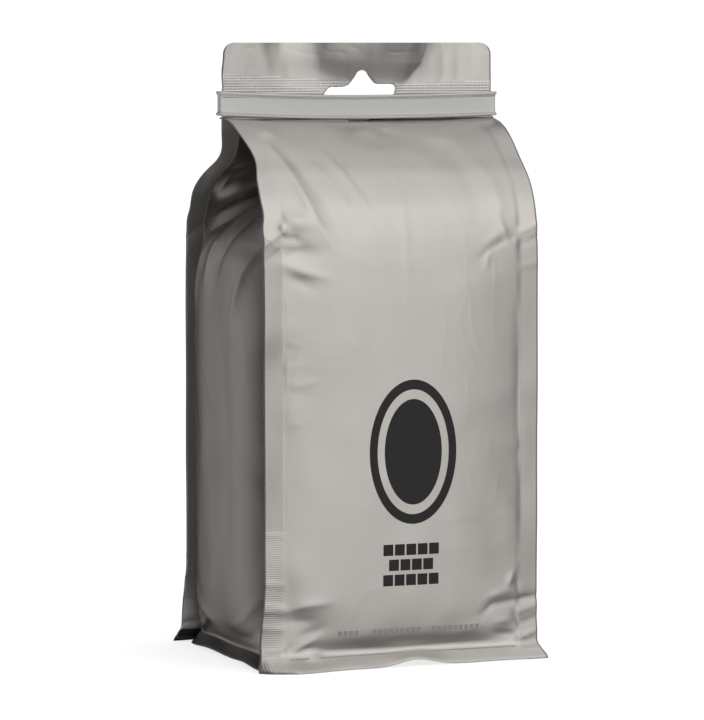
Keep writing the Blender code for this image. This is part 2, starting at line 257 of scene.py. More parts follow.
def head_wave(x, z):
    """How the whole head leans and buckles, in y, above the tie."""
    past = x - np.interp(z, *CREASE_X)
    wander = x + 2.2 * np.sin(z / 5.5)
    lean_left = sum(np.interp(wander + d, *LEAN_LEFT) for d in LEAN_BLUR) / len(LEAN_BLUR)
    lean_right = np.interp(x, *LEAN_RIGHT)
    lean = np.where(past < 0, lean_left, lean_right) * (1 - np.exp(-np.abs(past) / CREASE_REACH))
    up = np.logaddexp(0, (z - LEAN_FROM_Z) / 1.5) * 1.5
    fine = 0.12 * field_noise(x, z, (14, 16), 41) + 0.09 * field_noise(x, z, (3.6, 14), 42)
    fine += 0.08 * crumple(x, z, (9, 14), 43)
    return lean * up + fine * smooth((z - LEAN_FROM_Z) / 6)


PUFF = 0.4
# Upper edges of the bands of jaw marks over the tie: places in x, and heights there
SEAL_TOP = ((-60, -40, -10, 18, 60), (240.2, 239.0, 236.8, 235.2, 236.6))
DEEP_SEAL_TOP = ((-60, -12, 18, 60), (237.0, 232.0, 234.5, 235.6))


def head_puff(x, z):
    """How far the head's front and back webs stand apart above the seal."""
    up = smooth((z - np.interp(x, *SEAL_TOP) - 0.5) / 9)
    across = np.clip(1 - (np.abs(x) / (SEAM_X - 1)) ** 4, 0, 1)
    return PUFF * up * across


def edge_pull(x, z):
    """The shoulders' film is drawn in by the pleats, more on the left."""
    left = 2.7 * np.exp(-(((z - 207) / 7.5) ** 2)) * (x < 0)
    left = left + 0.5 * field_noise(x * 0, z, (10, 7), 51) * smooth((z - 172) / 10) * (x < 0)
    right = 0.5 * np.exp(-(((z - 204) / 8) ** 2)) * (x > 0)
    share = np.clip(np.abs(x) / HALF_WIDTH, 0, 1) ** 3
    return (left - right) * share


# How the skirt's edge strays from the outline, for the front (-1) and the back (1). Lift: height,
# middle, spread, ripple's height and its length. Push: places in x, and how far back in y there
SKIRT_LIFT = {-1: (2.5, 4, 10, 0.1, 5.3), 1: (1.4, -12, 13, 0.3, 6.1)}
SKIRT_PUSH = {
    -1: ((-62, -57, -48, -33, -10, 20, 60), (2.6, -2.2, -5.2, -3.2, -2.0, -2.4, -2.6)),
    1: ((-62, -52, -45, 20, 60), (-5.5, -0.5, 0.6, -0.8, 0.6)),
}
# How far the skirt's corners flare out: the front left, the back left and both right ones
FLARE_LEFT = {-1: 1.3, 1: 4.2}
FLARE_RIGHT = 2.4
# How far the tie's left and right ends stand over its middle
TIE_RISE_LEFT = 1.7
TIE_RISE_RIGHT = 1.1


def skirt_lift(x, outwards):
    """How far the skirt's lower edge is lifted off the floor."""
    height, middle, spread, ripple, length = SKIRT_LIFT[outwards]
    return height * np.exp(-(((x - middle) / spread) ** 2)) + ripple * (1 + np.sin(x / length))


def tie_lift(x):
    """The tie sags between its ends, and the neck under it follows."""
    share = np.clip(np.abs(x) / HALF_WIDTH, 0, 1.05)
    return np.where(x < 0, TIE_RISE_LEFT, TIE_RISE_RIGHT) * share ** 2


def side_seal_edge(z):
    """Where the fins end at a height: they are rounded at the head's top corners."""
    up = np.clip(z - (TOP_Z - HEAD_CORNER), 0, HEAD_CORNER)
    return HALF_WIDTH - HEAD_CORNER + np.sqrt(HEAD_CORNER ** 2 - up ** 2)


# How far the left fins are pushed out and back at the foot
FOOT_SPREAD = 1.6
# Height from which the tie's sag draws the film along, and over how far: front and back
NECK_LIFT = {-1: (205, 14), 1: (217, 3)}


def panel_grid(outline_y, outwards, relief):
    """Grid points and outward normals of the front or back web."""
    x = np.broadcast_to(PANEL_X, (ROWS, len(PANEL_X))).copy()
    z = np.repeat(ROW_Z[:, None], len(PANEL_X), 1)
    s = np.repeat(ROW_S[:, None], len(PANEL_X), 1)
    edge = side_seal_edge(z)
    in_fin = np.maximum(np.abs(x) - SEAM_X, 0) / FIN
    x = np.where(in_fin > 0, np.sign(x) * (SEAM_X + in_fin * (edge - SEAM_X)), x)
    crown = np.clip(1 - (np.abs(x) / SEAM_X) ** 2.4, 0, 1)
    y = outline_y[:, None] + outwards * SWELL[:, None] * crown
    in_head = IN_HEAD[:, None]
    y = y + np.where(in_head, head_wave(x, z) + outwards * head_puff(x, z), 0)
    points = np.stack([x + edge_pull(x, z), y, z], 2)
    normals = grid_normals(points) * -outwards
    in_body = smooth((NECK_S - 2 - s) / 5)
    points = points + normals * (relief(x, s) * in_body)[..., None]
    spread = np.clip((np.abs(x) - SEAM_X + 2) / (FIN + 2), 0, 1) * smooth((36 - s) / 26) * (x < 0)
    points[..., 0] -= FOOT_SPREAD * spread
    points[..., 1] += FOOT_SPREAD * spread
    lift_from, lift_over = NECK_LIFT[outwards]
    neck = smooth((z - lift_from) / lift_over) * smooth((TIE_HIGH_Z + 8 - z) / 10)
    points[..., 2] += tie_lift(x) * neck
    low = smooth((7.5 - s) / 7)
    flare = np.where(x < 0, FLARE_LEFT[outwards], FLARE_RIGHT) * (np.abs(x) / HALF_WIDTH) ** 8
    points[..., 0] += low * np.sign(x) * flare
    points[..., 1] += low * np.interp(x, *SKIRT_PUSH[outwards])
    points[..., 2] += low * skirt_lift(x, outwards)
    return points, grid_normals(points) * -outwards


def grid_normals(points):
    """Unit normals of a grid whose rows go up and whose columns go to +X: they face -Y."""
    across = np.gradient(points, axis=1)
    up = np.gradient(points, axis=0)
    n = np.cross(across, up)
    return n / np.maximum(np.linalg.norm(n, axis=2, keepdims=True), 1e-9)


def seam_wrinkles(x, s, side, low, high, height, reach):
    """Short sideways wrinkles that start at a seam's inner line."""
    distance = np.abs(x - side * SEAM_X)
    inside = (x * side < SEAM_X) * np.exp(-((distance / reach) ** 1.5))
    window = smooth((s - low) / 12) * smooth((high - s) / 12)
    ripple = field_noise(x * 0.25, s, (14, 4.2), 3 + side)
    return height * ripple * inside * window


# Creases of the front web: places in (x, s), height outwards, width and sharpness
FRONT_CREASES = (
    # drape lines from the shoulders down across the panel
    (((-50, 219), (-45, 204), (-37.6, 184), (-30, 170)), 0.75, 2.6, 1.3),
    (((-44, 214), (-38, 200), (-31, 186), (-24, 172)), -0.45, 3.2, 1.6),
    (((-28, 216), (-19, 196), (-11.5, 183)), 0.45, 2.4, 1.3),
    (((-22, 206), (-14, 190), (-9, 176)), -0.25, 3.0, 1.6),
    (((0, 205), (1, 150)), 0.13, 2.2, 1.6),
    (((30, 214), (33, 190), (35, 172)), -0.2, 4.0, 1.8),
    (((-48, 205), (-42, 192), (-38, 178)), 0.3, 1.6, 1.2),
    (((-36, 212), (-27, 196), (-20, 180)), 0.22, 1.8, 1.2),
    (((40, 206), (44, 188), (42, 177)), 0.4, 3.4, 1.6),
    # puckers at the left seam, where the shoulder starts
    (((-52.5, 181), (-49.5, 176)), 1.0, 1.3, 1.3),
    (((-52, 176), (-43, 174)), -0.9, 1.8, 1.4),
    (((-52, 165), (-44, 162), (-32, 159)), 0.75, 2.0, 1.3),
    (((-51, 160), (-38, 155)), -0.5, 2.4, 1.5),
    (((-51, 117), (-45, 116.5), (-37, 117.5)), 0.3, 1.5, 1.2),
    (((-50, 113), (-41, 112)), -0.16, 1.6, 1.3),
    (((-50, 134), (-44, 132)), 0.16, 1.4, 1.2),
    (((-50, 124), (-40, 125)), 0.14, 1.4, 1.2),
    (((-50, 100), (-44, 101)), 0.14, 1.4, 1.2),
    # the right seam's valley and its neighbours
    (((33, 165.5), (38, 169.5), (44, 172.5), (52, 175)), -0.5, 1.0, 1.0),
    (((35, 171), (40, 174), (47, 178)), 0.3, 1.7, 1.3),
    (((36, 161), (38, 169)), 0.3, 0.9, 1.0),
    (((43, 182), (47, 172)), 0.3, 1.4, 1.2),
    (((50, 150), (53, 60)), -0.25, 1.6, 1.6),
    # the lower corners
    (((-52, 25), (-44, 27), (-32, 28)), 0.75, 1.9, 1.2),
    (((-52, 21), (-38, 21)), -0.45, 2.6, 1.5),
    (((-53, 6), (-45, 10), (-37, 14)), 0.75, 1.6, 1.2),
    (((-46, 14), (-34, 18)), -0.4, 2.2, 1.5),
    (((46.5, 31), (49.6, 36.5)), 0.7, 1.3, 1.2),
    (((50.4, 35), (51.7, 28)), -0.6, 1.1, 1.2),
    (((34, 19.5), (39.5, 23.5), (50.4, 24.5), (57, 25)), -1.0, 1.8, 1.2),
    (((36, 26), (44, 28.5), (50, 29)), 0.5, 2.0, 1.3),
    (((49.5, 21), (52, 14)), -0.6, 1.3, 1.2),
    (((40, 16), (49, 17)), 0.5, 1.9, 1.3),
    (((40, 11.5), (51, 10.5)), -0.7, 1.8, 1.3),
    (((49, 8), (58, 10.5)), 0.7, 1.2, 1.2),
    (((20, 12), (34, 15)), 0.3, 2.4, 1.5),
)
# Soft bumps and dents of the front web: centre in (x, s), radii, height, turn in degrees
FRONT_DENTS = (
    ((-45, 182), (7, 3.5), 1.0, -10),
    ((-45, 169.5), (8, 3.3), -1.1, 4),
    ((0, 225), (9, 5), -0.5, 0),
    ((-47, 229), (5, 4), 0.8, 0),
    ((6, 231), (5, 4), -0.8, 0),
    ((28, 226), (8, 6), 0.5, 0),
    ((-40, 6.8), (4, 1.4), 0.9, -8),
)
# The share of those heights that the creases get
FRONT_DEPTH = 0.7


def front_relief(x, s):
    """Wrinkles and creases of the front web, outwards in millimetres."""
    out = 0.2 * field_noise(x, s, (38, 46), 1)
    inside = smooth((SEAM_X - np.abs(x)) / 3)
    out += 0.05 * crumple(x, s, (26, 34), 8) * inside
    out += 0.035 * crumple(x, s, (13, 17), 9) * inside
    for places, height, width, sharp in FRONT_CREASES:
        out += FRONT_DEPTH * crease(x, s, places, height, width, sharp)
    for centre, radii, height, turn in FRONT_DENTS:
        out += dent(x, s, centre, radii, height, turn)
    out += seam_wrinkles(x, s, -1, 90, 156, 0.14, 12)
    out += seam_wrinkles(x, s, 1, 30, 150, 0.10, 7)
    return out + foot_relief(x, s, inside, 9.0, 5) + fin_relief(x, s)


def foot_relief(x, s, inside, period, seed):
    """The hollow over the skirt and the skirt's crumpled upper line."""
    hollow = np.exp(-(((s - 8.5) / 3.0) ** 2))
    line = np.exp(-np.abs(s - 5.0 - 0.5 * np.sin(x / period)) / 0.7)
    ripple = 0.4 + 0.6 * np.abs(field_noise(x, s, (9, 30), seed))
    uneven = 0.6 + 0.4 * field_noise(x, s, (16, 60), seed + 1)
    return 0.5 * line * ripple - 0.75 * hollow * inside * uneven


# Ridges that cross the fins: height up the web, how far out, slant and width
LEFT_FIN_RIDGES = (
    (178, 0.5, -0.7, 1.6), (171, -0.25, -0.7, 1.8), (56, 0.15, 0.1, 0.9), (35.8, 0.3, 0.1, 0.8),
    (26.8, 0.5, 0.1, 0.7), (24.8, 0.5, 0.1, 0.7), (17.8, 0.3, 0.1, 0.8), (9.6, 0.45, -0.2, 0.9),
)
RIGHT_FIN_RIDGES = (
    (176, 0.5, 0.4, 1.4), (171, -0.4, 0.35, 1.4), (162, 0.25, 0.2, 1.6), (25, -0.5, 0.1, 1.4),
    (20, 0.4, 0.3, 1.2), (14.5, -0.4, 0.35, 1.2), (9.5, 0.4, 0.3, 1.0),
)


def fin_relief(x, s):
    """Creases that cross the fins; the gussets' flanges follow them."""
    side = np.sign(x)
    beyond = np.abs(x) - SEAM_X
    mask = smooth((beyond + 2) / 3) * (s < NECK_S)
    out = 0.22 * field_noise(side * 40, s, (10, 30), 2)
    out += 0.2 * np.sin(s / 9 + side) * smooth(beyond / FIN)
    for ridges, here in ((LEFT_FIN_RIDGES, side < 0), (RIGHT_FIN_RIDGES, side > 0)):
        for height, lift, slant, width in ridges:
            out += here * lift * np.exp(-np.abs(s - height - slant * beyond) / width)
    return out * mask


# Straight folds of the back web: ends in (x, s), height outwards, width and sharpness
BACK_FOLDS = (
    ((-46, 205), (-20, 178), 0.8, 3.0, 1.5),
    ((44, 203), (24, 176), 0.8, 3.2, 1.5),
    ((-8, 206), (-3, 176), 0.35, 2.6, 1.6),
    ((-51, 168), (-34, 160), -0.8, 2.4, 1.3),
    ((51, 172), (36, 163), -0.8, 2.4, 1.3),
)


def back_relief(x, s):
    """Wrinkles of the back web, outwards in millimetres."""
    out = 0.3 * field_noise(x, s, (34, 42), 11)
    inside = smooth((SEAM_X - np.abs(x)) / 3)
    out += 0.07 * crumple(x, s, (24, 30), 18) * inside
    for a, b, height, width, sharp in BACK_FOLDS:
        out += fold(x, s, a, b, height, width, sharp)
    out += seam_wrinkles(x, s, -1, 30, 150, 0.4, 10)
    out += seam_wrinkles(x, s, 1, 60, 156, 0.4, 11)
    return out + foot_relief(x, s, inside, 8.0, 15) + fin_relief(x, s)


FRONT, FRONT_N = panel_grid(FRONT_Y, -1, front_relief)
BACK, BACK_N = panel_grid(BACK_Y, 1, back_relief)

# Steps from a gusset's seam to its middle, as shares
WEB_STEPS = np.linspace(0, 1, 46)[1:]
FLANGE_COLUMNS = 11
SEAM_TURN = 0.5
WIDEST_PLEAT = 4.0


def gusset_grid(side):
    """Grid of a gusset web: front flange, seam turn, web, seam turn, back flange."""
    order = np.argsort(-side * PANEL_X)[:FLANGE_COLUMNS]
    flange_front = FRONT[:, order] - FRONT_N[:, order] * LAYER
    flange_back = BACK[:, order] - BACK_N[:, order] * LAYER
    seam_front = flange_front[:, -1]
    seam_back = flange_back[:, -1]
    middle = (seam_front + seam_back) / 2
    opened = np.clip(SQUARE - 1, 0, 1)[:, None]
    halves = []
    for seam in (seam_front, seam_back):
        depth = np.abs(middle[:, 1] - seam[:, 1])[:, None]
        towards = np.sign(middle[:, 1] - seam[:, 1])[:, None]
        narrow = np.minimum(depth, LAYER / 2 + opened * WIDEST_PLEAT)
        f = WEB_STEPS[None, :]
        seam_x = side * seam[:, 0][:, None]
        x = side * (seam_x + (SIDE_X[:, None] - seam_x) * (1 - (1 - f) ** SQUARE[:, None]))
        turn = SEAM_TURN * opened * (1 - np.exp(-f / 0.02))
        y = middle[:, 1][:, None] - towards * (narrow + (depth - narrow) * (1 - f) - turn)
        share = np.abs(y - seam[:, 1][:, None]) / np.maximum(2 * depth, 1e-6)
        other = seam_back if seam is seam_front else seam_front
        z = seam[:, 2][:, None] + share * (other[:, 2] - seam[:, 2])[:, None]
        layer_y = NECK_Y - towards * LAYER / 2
        y = np.where(IN_HEAD[:, None], layer_y + head_wave(x, z), y)
        halves.append(np.stack([x, y, z], 2))
    web = np.concatenate([halves[0], halves[1][:, ::-1]], 1)
    web = gusset_relief(web, side)
    return np.concatenate([flange_front, web, flange_back[:, ::-1]], 1)


# Creases of the gusset webs: places in (y, s), height outwards, width and sharpness
GUSSET_CREASES = (
    (((33, 195), (23, 203), (8.5, 211)), 1.0, 1.1, 1.1),
    (((34, 191), (24, 199), (10, 207)), 0.8, 1.0, 1.1),
    (((40, 178), (26, 182), (12, 186), (-8, 194)), 1.3, 3.2, 1.3),
    (((34, 172), (14, 179), (-4, 186)), -1.0, 3.0, 1.4),
    (((-12, 193), (2, 175), (11, 157)), 1.2, 2.6, 1.2),
    (((-20, 190), (-7, 172), (3, 152)), -0.9, 3.4, 1.5),
    (((16, 172), (24, 158), (28, 140)), 0.7, 3.0, 1.3),
    (((-38, 176), (-26, 160), (-18, 140)), 0.8, 3.2, 1.4),
    (((30, 150), (35, 110), (34, 60)), 0.5, 4.0, 1.6),
    (((-10, 130), (-15, 90), (-14, 40)), -0.5, 8.0, 1.8),
    (((-40, 30), (-26, 20), (-8, 14)), 0.7, 2.8, 1.3),
    (((-44, 20), (-28, 12), (-12, 10)), -0.7, 2.4, 1.3),
    (((40, 34), (28, 20), (10, 14)), 0.7, 3.0, 1.3),
    (((44, 20), (36, 12), (30, 8)), 0.8, 1.6, 1.2),
)
# How many times those heights the creases get
GUSSET_DEPTH = 1.5


def gusset_relief(web, side):
    """Pleat folds, drape lines and the rippled side skirt."""
    s = np.repeat(ROW_S[:, None], web.shape[1], 1)
    y = web[..., 1]
    normals = grid_normals(web) * side
    normals[..., 0] = np.abs(normals[..., 0]) * side
    fade = np.sin(np.linspace(0, np.pi, web.shape[1]))[None, :] ** 0.6
    body_only = smooth((FOLD_Z + 12 - s) / 14)
    out = 0.4 * field_noise(y, s, (30, 40), 21 + side)
    out += 0.10 * crumple(y, s, (26, 30), 25 + side)
    for places, height, width, sharp in GUSSET_CREASES:
        out += GUSSET_DEPTH * crease(y, s, places, height, width, sharp)
    out += dent(y, s, (13, 197), (7, 4), -1.8, -30)
    web = web + normals * (out * fade * body_only)[..., None]
    low = smooth((9 - s) / 8)
    web[..., 2] += low * fade * 0.6 * (1 + np.sin(y / 7.5 + side))
    web[..., 0] += side * low * fade * 1.2 * np.sin(y / 11 + side)
    return web


def arc(centre, radius, start, end, steps):
    """Points round a centre, angles in degrees."""
    turn = np.radians(np.linspace(start, end, steps + 1))
    return [(centre[0] + radius * math.cos(a), centre[1] + radius * math.sin(a)) for a in turn]


def hang_hole():
    """The hang hole's outline in x and z: a slot with a soft peak over it."""
    right = [(-13.5, 230.0), (15.6, 230.0)] + arc((14.6, 233.4), 2.0, -10, 90, 6)
    right += [(8.6, 235.4), (7.2, 235.7), (6.2, 236.6)]
    peak = arc((1.0, 238.2), 3.0, 15, 165, 10)
    left = [(-3.6, 236.3), (-4.9, 235.0), (-6.6, 234.4), (-9.8, 234.2)]
    left += [(-12.2, 234.4), (-13.6, 233.6), (-16.0, 230.6)]
    return [(float(x), float(z)) for x, z in right + peak + left]


HANG_HOLE = hang_hole()
# Points this near the hole's outline are drawn onto it
SNAP = 0.22


# ---------------- meshes
def mesh_object(name, vertices, faces, materials, indices=None):
    """A smooth-shaded object from vertices in millimetres."""
    mesh = bpy.data.meshes.new(name)
    mesh.from_pydata([tuple(v) for v in np.asarray(vertices) * MM], [], faces)
    for material in materials:
        mesh.materials.append(material)
    if indices is not None:
        mesh.polygons.foreach_set("material_index", indices)
    mesh.polygons.foreach_set("use_smooth", [True] * len(mesh.polygons))
    mesh.update()
    made = bpy.data.objects.new(name, mesh)
    bpy.context.scene.collection.objects.link(made)
    return made


def grid_faces(rows, columns, flip=False):
    """Quads of a grid of points stored row by row."""
    r, c = np.meshgrid(np.arange(rows - 1), np.arange(columns - 1), indexing="ij")
    a = (r * columns + c).ravel()
    quads = np.stack([a, a + 1, a + columns + 1, a + columns], 1)
    return (quads[:, ::-1] if flip else quads).tolist()


def thicken(made, thickness):
    """Gives a sheet its thickness, inwards, and bakes its modifiers into its mesh."""
    shell = made.modifiers.new("film", "SOLIDIFY")
    shell.thickness = thickness * MM
    shell.offset = -1
    depsgraph = bpy.context.evaluated_depsgraph_get()
    mesh = bpy.data.meshes.new_from_object(made.evaluated_get(depsgraph))
    made.modifiers.clear()
    old = made.data
    made.data = mesh
    bpy.data.meshes.remove(old)


def tube_faces(rings, count):
    """Quads round a stack of rings with so many points each."""
    faces = []
    for k in range(rings - 1):
        for j in range(count):
            after = (j + 1) % count
            a, b = k * count, (k + 1) * count
            faces.append((a + j, a + after, b + after, b + j))
    return faces


def inside_outline(x, z, outline):
    """Even-odd test of points against a closed outline."""
    inside = np.zeros(x.shape, bool)
    for (xa, za), (xb, zb) in zip(outline, outline[1:] + outline[:1]):
        crosses = (za > z) != (zb > z)
        with np.errstate(divide="ignore", invalid="ignore"):
            at = xa + (z - za) * (xb - xa) / (zb - za)
        inside ^= crosses & (x < at)
    return inside


def nearest_on_outline(x, z, outline):
    """The outline's nearest point to each point."""
    best = np.full(x.shape, np.inf)
    near_x, near_z = x.copy(), z.copy()
    for (xa, za), (xb, zb) in zip(outline, outline[1:] + outline[:1]):
        dx, dz = xb - xa, zb - za
        share = ((x - xa) * dx + (z - za) * dz) / max(dx * dx + dz * dz, 1e-9)
        share = np.clip(share, 0, 1)
        px, pz = xa + share * dx, za + share * dz
        distance = np.hypot(x - px, z - pz)
        closer = distance < best
        best = np.where(closer, distance, best)
        near_x = np.where(closer, px, near_x)
        near_z = np.where(closer, pz, near_z)
    return near_x, near_z, best


def web_object(name, points, flip, materials, indices):
    """A closed sheet of film from a grid, with the hang hole left out, thickened inwards."""
    rows, columns = points.shape[:2]
    faces = np.array(grid_faces(rows, columns, flip))
    x, z = points[..., 0].ravel(), points[..., 2].ravel()
    inside = inside_outline(x, z, HANG_HOLE)
    keep = ~inside[faces].all(axis=1)
    edge_x, edge_z, distance = nearest_on_outline(x, z, HANG_HOLE)
    on_edge = inside | (distance < SNAP)
    flat = points.reshape(-1, 3).copy()
    flat[:, 0] = np.where(on_edge, edge_x, x)
    flat[:, 2] = np.where(on_edge, edge_z, z)
    collapsed = on_edge[faces].all(axis=1)
    keep &= ~collapsed
    used = np.unique(faces[keep])
    index_of = np.full(len(flat), -1)
    index_of[used] = np.arange(len(used))
    kept_faces = index_of[faces[keep]].tolist()
    made = mesh_object(name, flat[used], kept_faces, materials, np.asarray(indices)[keep])
    thicken(made, FILM)
    return made


# ---------------- materials
class Finish:
    """A material in the making, with textures over the object's own coordinates."""

    def __init__(self, name, metallic, roughness=0.5, colour=(0.8, 0.8, 0.8)):
        self.material = bpy.data.materials.new(name)
        self.material.use_nodes = True
        self.nodes = self.material.node_tree.nodes
        self.links = self.material.node_tree.links
        self.inputs = self.nodes["Principled BSDF"].inputs
        self.inputs["Metallic"].default_value = metallic
        self.inputs["Roughness"].default_value = roughness
        self.inputs["Base Color"].default_value = (*colour, 1)
        self.place = self.nodes.new("ShaderNodeTexCoord").outputs["Object"]
        self.normal = None

    def noise(self, scale, detail=2.0):
        """A noise texture."""
        node = self.nodes.new("ShaderNodeTexNoise")
        node.inputs["Scale"].default_value = scale
        node.inputs["Detail"].default_value = detail
        self.links.new(self.place, node.inputs["Vector"])
        return node

    def two_tones(self, texture, dark, light, stops=(0, 1)):
        """The colour goes from dark to light with a texture."""
        tone = self.nodes.new("ShaderNodeValToRGB")
        for element, stop, colour in zip(tone.color_ramp.elements, stops, (dark, light)):
            element.position = stop
            element.color = (*colour, 1)
        self.links.new(texture.outputs["Fac"], tone.inputs["Fac"])
        self.links.new(tone.outputs["Color"], self.inputs["Base Color"])

    def vary_roughness(self, texture, low, high):
        """The roughness goes from low to high with a texture."""
        value = self.nodes.new("ShaderNodeMapRange")
        value.inputs["To Min"].default_value = low
        value.inputs["To Max"].default_value = high
        self.links.new(texture.outputs["Fac"], value.inputs["Value"])
        self.links.new(value.outputs["Result"], self.inputs["Roughness"])

    def bump(self, height, strength, distance):
        """One more bump, on top of those before it."""
        node = self.nodes.new("ShaderNodeBump")
        node.inputs["Strength"].default_value = strength
        node.inputs["Distance"].default_value = distance
        self.links.new(height, node.inputs["Height"])
        if self.normal:
            self.links.new(self.normal, node.inputs["Normal"])
        self.normal = node.outputs["Normal"]
        self.links.new(self.normal, self.inputs["Normal"])


CLOUD_SCALE = 22
CLOUD_DARKENS = 0.91
CRACKLE_SCALE = 34
GRAIN_SCALE = 900


def foil(name, colour, roughness, marks=None, metallic=0.92):
    """Satin metallised film: faint clouds, crackled lines, fine grain, and jaw marks if given."""
    film = Finish(name, metallic)
    cloud = film.noise(CLOUD_SCALE, 3)
    film.two_tones(cloud, [c * CLOUD_DARKENS for c in colour], colour, (0.3, 0.7))
    film.vary_roughness(cloud, roughness - 0.05, roughness + 0.06)
    crackle = film.noise(CRACKLE_SCALE, 3)
    crackle.noise_type = "RIDGED_MULTIFRACTAL"
    film.bump(crackle.outputs["Fac"], 0.6, 0.0018)
    film.bump(film.noise(GRAIN_SCALE).outputs["Fac"], 0.06, 0.0003)
    if marks:
        add_jaw_marks(film, *marks)
    return film.material


def add_jaw_marks(film, pitch, depth, axes):
    """Fine bars along one axis, or dots where the bars of two axes cross."""
    heights = []
    for axis in axes:
        wave = film.nodes.new("ShaderNodeTexWave")
        wave.bands_direction = axis
        wave.inputs["Scale"].default_value = math.tau / 20 / (pitch * MM)
        film.links.new(film.place, wave.inputs["Vector"])
        heights.append(wave.outputs["Fac"])
    height = heights[0]
    if len(heights) > 1:
        product = film.nodes.new("ShaderNodeMath")
        product.operation = "MULTIPLY"
        film.links.new(heights[0], product.inputs[0])
        film.links.new(heights[1], product.inputs[1])
        height = product.outputs["Value"]
    film.bump(height, depth, 0.0004)


SILVER = (0.64, 0.615, 0.585)
# Painted shade: a darker copy of the silver for the fins below the shoulders, where less light
# falls on them
FIN_SHADE = (0.55, 0.53, 0.505)
# Painted shade: a darker copy of the silver for the gusset webs, which face away from the light
SHADED = (0.46, 0.435, 0.42)
# Painted shade: near-black film for the gussets' skirts, where they sit in deep shade under the
# bulge
DEEP_SHADE = (0.13, 0.12, 0.115)
PALE = (0.82, 0.80, 0.77)
# The jaw marks are a pitch in millimetres, a depth and one or two axes
film_plain = foil("film_plain", SILVER, 0.34)
film_fin_painted_shade = foil("film_fin_painted_shade", FIN_SHADE, 0.36, (0.9, 0.07, "Z"))
film_foot = foil("film_foot", SILVER, 0.36, (0.9, 0.12, "Z"))
film_seal = foil("film_seal", PALE, 0.4, (1.1, 0.45, "XZ"))
film_hatch = foil("film_hatch", PALE, 0.4, (1.1, 0.3, "XZ"))
film_skirt = foil("film_skirt", SILVER, 0.38, (1.1, 0.12, "X"))
FILMS = [film_plain, film_fin_painted_shade, film_seal, film_hatch, film_skirt, film_foot]
PLAIN, SHADED_FIN_BARS, SEAL_DOTS, HATCH_DOTS, SKIRT_BARS, FOOT_BARS = range(len(FILMS))
# The gussets' films: painted shade on the webs, painted light on the flanges, deep painted shade
# on the skirts
side_painted_shade = foil("side_painted_shade", SHADED, 0.27, metallic=1.0)
# Painted light: the gussets' flanges take the pale film to lift them where the gusset's bulge
# shades them
side_fin_painted_light = foil("side_fin_painted_light", PALE, 0.36, (0.9, 0.07, "Z"))
# Painted shade: the gussets' skirts are near black
side_skirt_painted_shade = foil("side_skirt_painted_shade", DEEP_SHADE, 0.36, (1.1, 0.12, "Y"))
SIDE_FILMS = [side_painted_shade, side_fin_painted_light, side_skirt_painted_shade]
SIDE_FIN, SIDE_SKIRT = 1, 2


# ---------------- the four upright webs
SKIRT_TOP = 4.6
# Painted shade on the fins reaches up to this height up the web, rising by the slant towards their
# outer edges
FIN_SHADE_TOP = 170.0
FIN_SHADE_SLANT = 0.9
# Below this height the left fins take the plain silver instead of the painted shade
PALE_FOOT_TOP = 58.0


def panel_zones():
    """Which of the films each face of a panel takes."""
    x = (PANEL_X[:-1] + PANEL_X[1:])[None, :] / 2
    s = (ROW_S[:-1] + ROW_S[1:])[:, None] / 2
    z = (ROW_Z[:-1] + ROW_Z[1:])[:, None] / 2
    # Fins below the painted shade's line take the shaded fin film; the left fins' foot keeps the
    # plain silver
    fin_shade_top = FIN_SHADE_TOP + FIN_SHADE_SLANT * (np.abs(x) - SEAM_X)
    zone = np.where((np.abs(x) > SEAM_X) & (s < fin_shade_top), SHADED_FIN_BARS, PLAIN)
    zone = np.where((zone == SHADED_FIN_BARS) & (x < 0) & (s < PALE_FOOT_TOP), FOOT_BARS, zone)
    head = s > NECK_S
    zone = np.where(head & (z < np.interp(x, *SEAL_TOP)), HATCH_DOTS, zone)
    zone = np.where(head & (z < np.interp(x, *DEEP_SEAL_TOP)), SEAL_DOTS, zone)
    zone = np.where(s < SKIRT_TOP, SKIRT_BARS, zone)
    return zone.ravel().astype(np.int32)


front_web = web_object("front_web", FRONT, False, FILMS, panel_zones())
back_web = web_object("back_web", BACK, True, FILMS, panel_zones())
gusset_webs = {}
gusset_points = {}
for side, word in ((-1, "left"), (1, "right")):
    points = gusset_grid(side)
    gusset_points[word] = points
    zone = np.zeros((ROWS - 1, points.shape[1] - 1), np.int32)
    # Flanges take the pale film for painted light, the skirt the near-black film for painted
    # shade, the rest the shaded film
    zone[:, :FLANGE_COLUMNS - 1] = SIDE_FIN
    zone[:, 1 - FLANGE_COLUMNS:] = SIDE_FIN
    zone[ROW_S[:-1] < SKIRT_TOP] = SIDE_SKIRT
    name = word + "_gusset_web"
    gusset_webs[word] = web_object(name, points, side > 0, SIDE_FILMS, zone.ravel())


# Each web with a slot name and the CAD nodes it stands for; those nodes are hidden
STAND_FOR = {
    front_web: ("front_film", ("front_panel", "front_header")),
    back_web: ("back_film", ("back_panel", "back_header")),
    gusset_webs["left"]: ("gusset_film", ("left_gusset", "left_gusset_header")),
    gusset_webs["right"]: ("gusset_film", ("right_gusset", "right_gusset_header")),
}
for web, (slot, nodes) in STAND_FOR.items():
    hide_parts(*nodes)
    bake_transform(web)


# ---------------- tin tie
def tie_material():
    """Silver plastic ribbon with faint streaks along it."""
    ribbon = Finish("tie_plastic", 0.45, 0.34, (0.60, 0.60, 0.585))
    stretch = ribbon.nodes.new("ShaderNodeMapping")
    stretch.inputs["Scale"].default_value = (60, 60, 900)
    ribbon.links.new(ribbon.place, stretch.inputs["Vector"])
    streak = ribbon.noise(1)
    ribbon.links.new(stretch.outputs["Vector"], streak.inputs["Vector"])
    ribbon.bump(streak.outputs["Fac"], 0.12, 0.0002)
    return ribbon.material


TIE_FINISH = tie_material()
